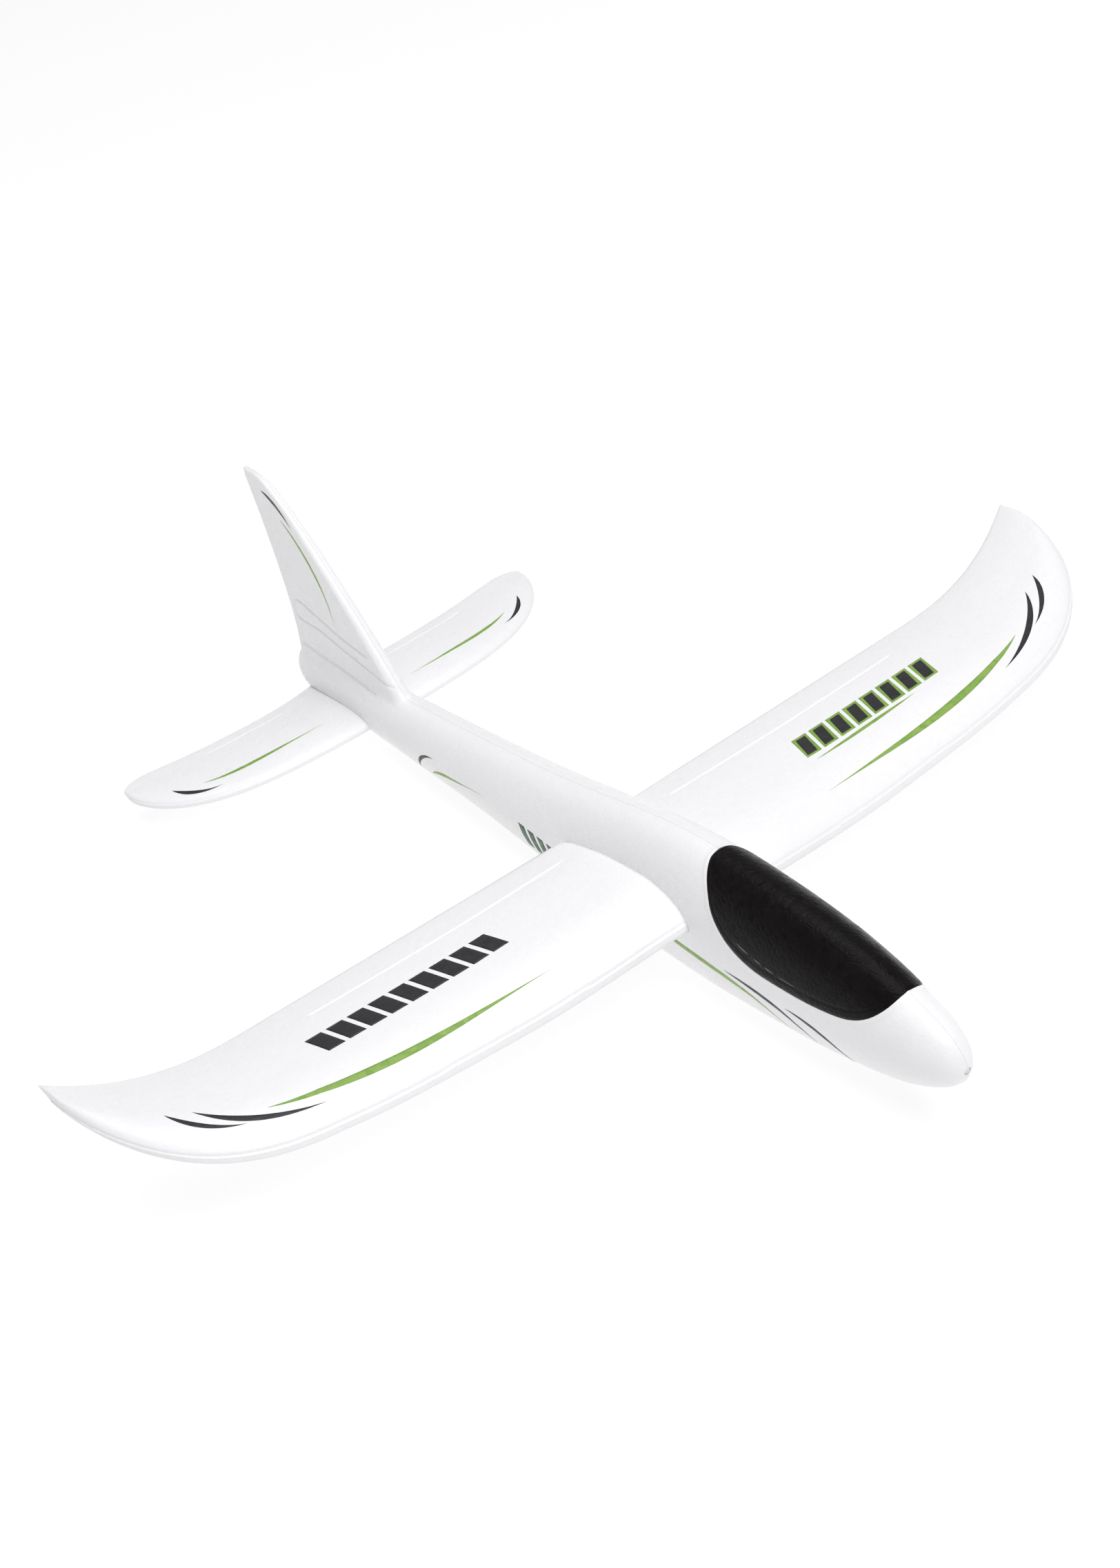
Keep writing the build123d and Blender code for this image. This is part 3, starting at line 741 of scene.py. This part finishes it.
def moulded_skin():
    """The hull and the fin as one smooth moulding, with a hollow where the fin starts."""
    body = hull_tube()
    body.name = "fuselage_left_foam"
    joined(body, fin_tube(), "UNION")
    grain = body.modifiers.new("grain", "REMESH")
    grain.mode = "VOXEL"
    grain.voxel_size = GRAIN * MM
    soft = body.modifiers.new("soft", "SMOOTH")
    soft.factor = 0.5
    soft.iterations = 3
    apply_modifiers(body)
    fin_foot = body.vertex_groups.new(name="fin_foot")
    for v in body.data.vertices:
        x, y, z = v.co / MM
        away = abs(z - station_at(y)[1] - FIN_FOOT_RISE) / FIN_FOOT_REACH
        if FIN_FOOT_Y[0] < y < FIN_FOOT_Y[1] and abs(x) < FIN_FOOT_X and away < 1:
            fade = min(1.0, (FIN_FOOT_Y[1] - y) / FIN_FOOT_FADE)
            fin_foot.add([v.index], (1 - away**2) * fade, "REPLACE")
    fillet = body.modifiers.new("fillet", "SMOOTH")
    fillet.factor = 0.5
    fillet.iterations = 24
    fillet.vertex_group = "fin_foot"
    apply_modifiers(body)
    return body


def add_relief(body):
    """The seam, the fin's creases, the lip round the canopy and the foam's unevenness."""
    canopy_line = smooth_line(CANOPY_OUTLINE, 8)
    slot_line = smooth_line(FIN_SLOT_OUTLINE, 8)
    foot_line = np.array(FIN_FOOT_LINE)
    refined_near(body, slot_line, 1.5, *FIN_SLOT_BOX)
    refined_near(body, slot_line, 1.0, *FIN_SLOT_BOX)
    refined_near(body, canopy_line, 2.6, *CANOPY_BOX)

    def height(points, normals):
        """How far each point of the skin is moved outwards."""
        x, y, z = points.T

        def near(line, where, offset, width):
            """A ridge at an offset from a line, on the points that are in its part of the body."""
            ridge = np.zeros(len(points))
            ridge[where] = ridge_at(line_distance(points[where][:, 1:], line) - offset, width)
            return ridge

        flash = np.clip((FLASH_FROM_Y - y) / FLASH_FADE, 0, 1) * (z > FLASH_ABOVE_Z)
        seam = ridge_at(x, SEAM_WIDTH) * (SEAM_DEPTH - (SEAM_DEPTH + FLASH_HEIGHT) * flash)
        side = np.clip(np.abs(normals[:, 0]) * 2 - 0.6, 0, 1)
        on_fin = (y > FIN_SLOT_BOX[0][1]) & (z > FIN_SLOT_BOX[0][2]) & (z < FIN_SLOT_BOX[1][2])
        at_foot = (y > 140) & (z > 26) & (z < 44) & (np.abs(x) > 2)
        engraved = FIN_SLOT_DEPTH * near(slot_line, on_fin, 0.0, FIN_SLOT_WIDTH)
        engraved += FIN_FOOT_DEPTH * near(foot_line, at_foot, 0.0, FIN_FOOT_WIDTH)
        lip = RECESS_LIP * near(canopy_line, y < CANOPY_BOX[1][1], RECESS_LIP_OUT, RECESS_LIP_WIDTH)
        return BEAD_RELIEF * bead_height(points, seed=40.0) - seam - engraved * side + lip

    moved_along_normals(body, height)
    kept_inside(body)


def cut_openings(body):
    """Cuts the tongues' pocket, the tailplane's slot, the rod's bore and the canopy's recess, and
    levels the belly."""
    pocket_low = (-40.0, TONGUE_LOW[1] - FIT_GAP, TONGUE_LOW[2] - FIT_GAP)
    pocket_high = (40.0, TONGUE_HIGH[1] + FIT_GAP, TONGUE_HIGH[2] + FIT_GAP)
    joined(body, block("slot", pocket_low, pocket_high), "DIFFERENCE")
    joined(body, tail_slot(), "DIFFERENCE")
    joined(body, rod_hole(), "DIFFERENCE")
    joined(body, canopy_shell("recess", RECESS_PROUD, CANOPY_THICKNESS, 0.0), "DIFFERENCE")
    joined(body, block("ground", *GROUND), "DIFFERENCE")


def make_fuselage():
    """The left fuselage half with its half of the fin."""
    body = moulded_skin()
    add_relief(body)
    cut_openings(body)
    bm = bmesh.new()
    bm.from_mesh(body.data)
    everything = bm.verts[:] + bm.edges[:] + bm.faces[:]
    cut = bmesh.ops.bisect_plane(
        bm, geom=everything, plane_co=(HALF_GAP * MM, 0, 0), plane_no=(1, 0, 0), clear_inner=True
    )
    rim = [e for e in cut["geom_cut"] if isinstance(e, bmesh.types.BMEdge)]
    bmesh.ops.triangle_fill(bm, edges=rim, use_beauty=True, normal=(-1, 0, 0))
    bmesh.ops.recalc_face_normals(bm, faces=bm.faces)
    bm.to_mesh(body.data)
    bm.free()
    body.data.shade_smooth()
    body.data.set_sharp_from_angle(angle=radians(62))
    return body


def slab_faces(rows, columns, closed=False):
    """Faces of a thin slab: a (rows, columns) grid of points, then the same grid on its underside.
    A closed slab's last row joins its first."""
    under = rows * columns
    faces = []
    for r in range(rows if closed else rows - 1):
        s = (r + 1) % rows
        for c in range(columns - 1):
            quad = (r * columns + c, r * columns + c + 1, s * columns + c + 1, s * columns + c)
            faces.append(quad)
            faces.append(tuple(under + q for q in reversed(quad)))
        for c in (0, columns - 1):
            a, b = r * columns + c, s * columns + c
            faces.append((a, b, b + under, a + under))
    if not closed:
        for r in (0, rows - 1):
            for c in range(columns - 1):
                a = r * columns + c
                faces.append((a, a + 1, a + 1 + under, a + under))
    return faces


def canopy_shell(name, proud, deep, soften):
    """The canopy's shell: a crowned grid over the skin inside the outline, and its inner face."""
    outline = smooth_line(CANOPY_OUTLINE, 60)
    rear = outline[0, 0] - 0.02
    front = next(y for y, z in outline if y < -150 and z > station_at(y)[1] - 0.02)
    turn = (1 - np.cos(pi * np.linspace(0, 1, 150))) / 2
    ys = rear + (front - rear) * turn
    low_z = np.interp(-ys, -outline[:, 0], outline[:, 1])
    across = np.sin(0.48 * pi * np.linspace(-1, 1, 91)) / sin(0.48 * pi)
    outer, inner = [], []
    for y, z in zip(ys, low_z):
        _, top, bottom, half_width = station_at(y)
        middle, half_height = (top + bottom) / 2, (top - bottom) / 2
        start = asin(min(0.9999, max(-0.9, (z - middle) / half_height)))
        reach = pi / 2 - start
        angle = across * reach
        side_gap = (1 - np.abs(across)) * reach * (half_width + half_height) / 2
        end_gap = np.minimum(np.abs(y - rear), np.abs(y - front)) * 1.5
        rise = np.full(len(across), proud)
        if soften:
            rise = proud * (1 - np.exp(-np.minimum(side_gap, end_gap) / soften))
            rise -= PANEL_LINE_DEPTH * ridge_at(side_gap - PANEL_LINE, PANEL_LINE_WIDTH)
        for lift, rows in ((rise, outer), (np.full(len(across), -deep), inner)):
            x = (half_width + lift) * np.sin(angle)
            row_z = middle + (half_height + lift) * np.cos(angle)
            rows.append(np.stack([x, np.full(len(across), y), row_z], 1))
    outer, inner = np.array(outer), np.array(inner)
    if soften:
        uneven = bead_height(outer.reshape(-1, 3), seed=80.0).reshape(outer.shape[:2])
        outer[:, :, 2] += CANOPY_RELIEF * uneven
    points = np.concatenate([outer.reshape(-1, 3), inner.reshape(-1, 3)])
    return add_mesh(name, points, slab_faces(len(ys), len(across)))


def make_canopy():
    """The black cap: proud of the foam with a soft edge, and a fine line inside its rim."""
    cap = canopy_shell("canopy_foam", CANOPY_PROUD, CANOPY_THICKNESS - 0.05, CANOPY_SOFT)
    cap.data.set_sharp_from_angle(angle=radians(50))
    return cap


# ---------------------------------------------------------------- film stickers
FILM_PROUD = 0.07
FILM_EDGE = 0.6 * FILM_PROUD  # the film thins towards its edge
FILM_DEEP = 0.12  # how far its underside is sunk in the foam
RAY_START = 300.0
UP, LEFT, RIGHT = Vector((0, 0, 1)), Vector((1, 0, 0)), Vector((-1, 0, 0))
GREEN = (green_film, "green_film")
DARK_GREEN = (dark_green_film, "dark_green_film")
BLACK = (black_film, "black_film")


def fitted(points):
    """One smooth curve through a few points, as a fine line."""
    points = np.array(points)
    reach = np.concatenate([[0.0], np.cumsum(np.linalg.norm(np.diff(points, axis=0), axis=1))])
    steps = np.linspace(0.0, 1.0, 100)
    order = len(points) - 1
    return np.stack([np.polyval(np.polyfit(reach / reach[-1], c, order), steps) for c in points.T], 1)


def stripe_grid(points, width, widest):
    """A tapered stripe as a (along, across, 2) grid; it is pointed at both ends."""
    line = fitted(points)
    _, length = along(line, [0.0])
    count = max(16, int(length / 1.2))
    shares = np.linspace(0.004, 0.996, count)
    middle, _ = along(line, shares)
    tangent = np.gradient(middle, axis=0)
    tangent /= np.linalg.norm(tangent, axis=1, keepdims=True)
    side = np.stack([-tangent[:, 1], tangent[:, 0]], 1)
    skew = np.log(0.5) / np.log(widest)
    half = width / 2 * np.sin(pi * shares**skew) ** 0.9
    across = np.linspace(-1, 1, 5)
    return middle[:, None, :] + side[:, None, :] * (half[:, None] * across)[:, :, None]


def bar_grids(first, pitch, count, width, foot, height, slant):
    """A row of parallelograms as (along, across, 2) grids."""
    grids = []
    for i in range(count):
        v, u = np.meshgrid(np.linspace(0, 1, 12), np.linspace(-0.5, 0.5, 7), indexing="ij")
        x = first + i * pitch + u * width + v * slant
        grids.append(np.stack([x, foot + v * height], 2))
    return grids


def rim_grids(first, pitch, count, width, foot, height, slant):
    """The rims round a row of parallelograms, as closed (round, across, 2) grids."""
    grids = []
    for i in range(count):
        ring = []
        for grow in (0.0, LEFT_WING_RIM / 2, LEFT_WING_RIM):
            x, half = first + i * pitch, width / 2 + grow
            low, high = foot - grow, foot + height + grow
            bottom = [(x - half, low), (x + half, low)]
            top = [(x + half + slant, high), (x - half + slant, high)]
            corners = np.array(bottom + top)
            ends = np.roll(corners, -1, axis=0)
            sides = [np.linspace(a, b, 8, endpoint=False) for a, b in zip(corners, ends)]
            ring.append(np.vstack(sides))
        grids.append(np.stack(ring, 1))
    return grids


def film(name, grids, plane, facing, target, closed=False):
    """Thin film pressed onto a surface. grids are flat 2-D shapes on plane "xy" or "yz"; facing is
    the way that the film looks, and target the surface's ray-cast tree."""
    points, faces = [], []
    for grid in grids:
        rows, columns = grid.shape[:2]
        base = len(points)
        tops, bottoms = [], []
        for r, c in product(range(rows), range(columns)):
            a, b = grid[r, c]
            spot = Vector((a, b, 0.0)) if plane == "xy" else Vector((0.0, a, b))
            hit, normal, _, _ = target.ray_cast((spot + facing * RAY_START) * MM, -facing)
            inside = 0 < c < columns - 1 and (closed or 0 < r < rows - 1)
            tops.append(hit / MM + normal * (FILM_PROUD if inside else FILM_EDGE))
            bottoms.append(hit / MM - normal * FILM_DEEP)
        points += tops + bottoms
        faces += [tuple(base + i for i in face) for face in slab_faces(rows, columns, closed)]
    return add_mesh(name, points, faces)


def stripes(specs):
    """The grids of several tapered stripes."""
    return [stripe_grid(*spec) for spec in specs]


def flipped(grids):
    """Grids mirrored from the left side to the right in the XY plane."""
    return [grid * np.array([-1.0, 1.0]) for grid in grids]


def finish_piece(obj, body, node, material, slot):
    """Gives a piece its material and body, and hides the CAD node that it stands for. The slot is not
    used.
    """
    obj.data.materials.clear()
    obj.data.materials.append(material)
    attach(obj, BODIES[body])
    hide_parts(node)


def film_on_wings(wings):
    """The stripes of both wings and the rows of bars; wings holds each side's ray-cast tree."""
    for side, tree in wings.items():
        for finish, specs, node in (
            (GREEN, WING_GREEN, f"{side}_wing_green_stripe"),
            (BLACK, WING_BLACK, f"{side}_wing_black_stripes"),
        ):
            grids = stripes(specs) if side == "left" else flipped(stripes(specs))
            finish_piece(film(node + "_film", grids, "xy", UP, tree), side, node, *finish)
    bars = film("left_wing_bars_film", bar_grids(*LEFT_WING_BARS), "xy", UP, wings["left"])
    finish_piece(bars, "left", "left_wing_bars", *BLACK)
    rims = rim_grids(*LEFT_WING_BARS)
    rims = film("left_wing_bar_rims_film", rims, "xy", UP, wings["left"], closed=True)
    finish_piece(rims, "left", "left_wing_bar_rims", *GREEN)
    line = film("left_wing_underline_film", stripes(LEFT_WING_UNDERLINE), "xy", UP, wings["left"])
    finish_piece(line, "left", "left_wing_bar_rims", *GREEN)
    bars = film("right_wing_bars_film", bar_grids(*RIGHT_WING_BARS), "xy", UP, wings["right"])
    finish_piece(bars, "right", "right_wing_bars", *BLACK)


def film_on_tail(tree):
    """The tailplane's stripes, the same on both halves."""
    for finish, specs, node in (
        (GREEN, TAIL_GREEN, "tailplane_green_stripes"),
        (BLACK, TAIL_BLACK, "tailplane_black_stripes"),
    ):
        grids = stripes(specs) + flipped(stripes(specs))
        finish_piece(film(node + "_film", grids, "xy", UP, tree), "tail", node, *finish)


def film_on_side(side, tree, facing):
    """The stripes and bars of one side of the fuselage and fin."""
    for finish, specs, node in (
        (GREEN, SIDE_GREEN, f"{side}_side_green_stripes"),
        (BLACK, SIDE_BLACK, f"{side}_side_black_stripes"),
        (GREEN, FIN_GREEN, "fin_green_stripes"),
        (BLACK, FIN_BLACK, "fin_black_stripes"),
    ):
        name = node + ("_film" if side in node else f"_{side}_film")
        finish_piece(film(name, stripes(specs), "yz", facing, tree), "body", node, *finish)
    node = f"{side}_side_bars"
    bars = film(node + "_film", bar_grids(*SIDE_BARS), "yz", facing, tree)
    finish_piece(bars, "body", node, *DARK_GREEN)


def build_glider():
    """Every piece of the glider: the foam first, then the film that lies on it."""
    wing = make_wing()
    other_wing = mirrored(wing, "right_wing_foam")
    tail = make_tailplane()
    half = make_fuselage()
    other_half = mirrored(half, "fuselage_right_foam")
    cap = make_canopy()
    for piece, body, node in (
        (wing, "left", "left_wing"),
        (other_wing, "right", "right_wing"),
        (tail, "tail", "tailplane"),
        (half, "body", "fuselage_left_half"),
        (other_half, "body", "fuselage_right_half"),
    ):
        finish_piece(piece, body, node, white_foam, "white_foam")
    finish_piece(cap, "body", "canopy", black_foam, "black_foam")

    film_on_wings({"left": tree_of(wing), "right": tree_of(other_wing)})
    film_on_tail(tree_of(tail))
    film_on_side("left", tree_of(half), LEFT)
    film_on_side("right", tree_of(other_half), RIGHT)
    # The pale grey dashes along the line inside the canopy's rim.
    scuffs = film("canopy_pale_dashes", stripes(CANOPY_PALE_DASHES), "yz", RIGHT, tree_of(cap))
    finish_piece(scuffs, "body", "canopy", pale_dash_foam, "black_foam")
    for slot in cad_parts["nose_weight"].material_slots:
        slot.material = steel


# ---------------------------------------------------------------- camera, light and floor
CAMERA_PLACE = (-0.3896, -0.73357, 0.63591)  # metres
CAMERA_AZIMUTH = -27.70  # degrees
CAMERA_ELEVATION = 35.03
CAMERA_ROLL = -14.46
CAMERA_LENS = 58.58
CAMERA_SENSOR = 36.0
CAMERA_FAR = 200.0
FLOOR_REACH = 80000.0
FLOOR_GREY = 0.28
FLOOR_GLOW = 0.78
SKY_STRENGTH = 0.43
LIGHT_TARGET = Vector((0.0, -0.02, 0.03))
LIGHTS = (  # name, place, size, power
    ("key", (-0.05, -0.95, 1.45), 1.0, 13.6),
    ("overhead", (0.1, 0.2, 1.5), 1.3, 8.6),
)


def set_camera(scene):
    """The camera, turned about its own axis by the roll."""
    azimuth, elevation = radians(CAMERA_AZIMUTH), radians(CAMERA_ELEVATION)
    back = Vector((sin(azimuth) * cos(elevation), -cos(azimuth) * cos(elevation), sin(elevation)))
    level = Vector((cos(azimuth), sin(azimuth), 0.0))
    turned = Matrix.Rotation(radians(CAMERA_ROLL), 3, back)
    right, up = turned @ level, turned @ back.cross(level)
    facing = Matrix((right, up, back)).transposed().to_4x4()
    camera = bpy.data.objects.new("camera", bpy.data.cameras.new("camera"))
    camera.data.sensor_width = CAMERA_SENSOR
    camera.data.lens = CAMERA_LENS
    camera.data.clip_end = CAMERA_FAR
    camera.matrix_world = Matrix.Translation(CAMERA_PLACE) @ facing
    scene.collection.objects.link(camera)
    scene.camera = camera


def set_floor():
    """A plain white floor that glows a little, so that it stays white under the soft light."""
    reach = FLOOR_REACH
    corners = [(-reach, -reach, 0), (reach, -reach, 0), (reach, reach, 0), (-reach, reach, 0)]
    floor = add_mesh("floor", corners, [(0, 1, 2, 3)])
    paper, _, _, shader = new_material("floor_paper")
    shader.inputs["Base Color"].default_value = (FLOOR_GREY, FLOOR_GREY, FLOOR_GREY, 1)
    shader.inputs["Emission Color"].default_value = (1, 1, 1, 1)
    shader.inputs["Emission Strength"].default_value = FLOOR_GLOW
    shader.inputs["Roughness"].default_value = 0.9
    shader.inputs["Specular IOR Level"].default_value = 0.0
    floor.data.materials.append(paper)


def set_lights(scene):
    """An even white sky and two large soft lights."""
    world = bpy.data.worlds.new("world")
    world.use_nodes = True
    sky = world.node_tree.nodes["Background"]
    sky.inputs["Color"].default_value = (1, 1, 1, 1)
    sky.inputs["Strength"].default_value = SKY_STRENGTH
    scene.world = world
    for name, place, size, power in LIGHTS:
        light = bpy.data.objects.new(name, bpy.data.lights.new(name, "AREA"))
        light.data.shape = "DISK"
        light.data.size = size
        light.data.energy = power
        light.location = place
        light.rotation_mode = "QUATERNION"
        light.rotation_quaternion = (LIGHT_TARGET - Vector(place)).to_track_quat("-Z", "Y")
        scene.collection.objects.link(light)


def set_stage():
    """The camera, the floor and the lights."""
    scene = bpy.context.scene
    scene.view_settings.view_transform = "Standard"
    set_camera(scene)
    set_floor()
    set_lights(scene)


set_stage()
build_glider()
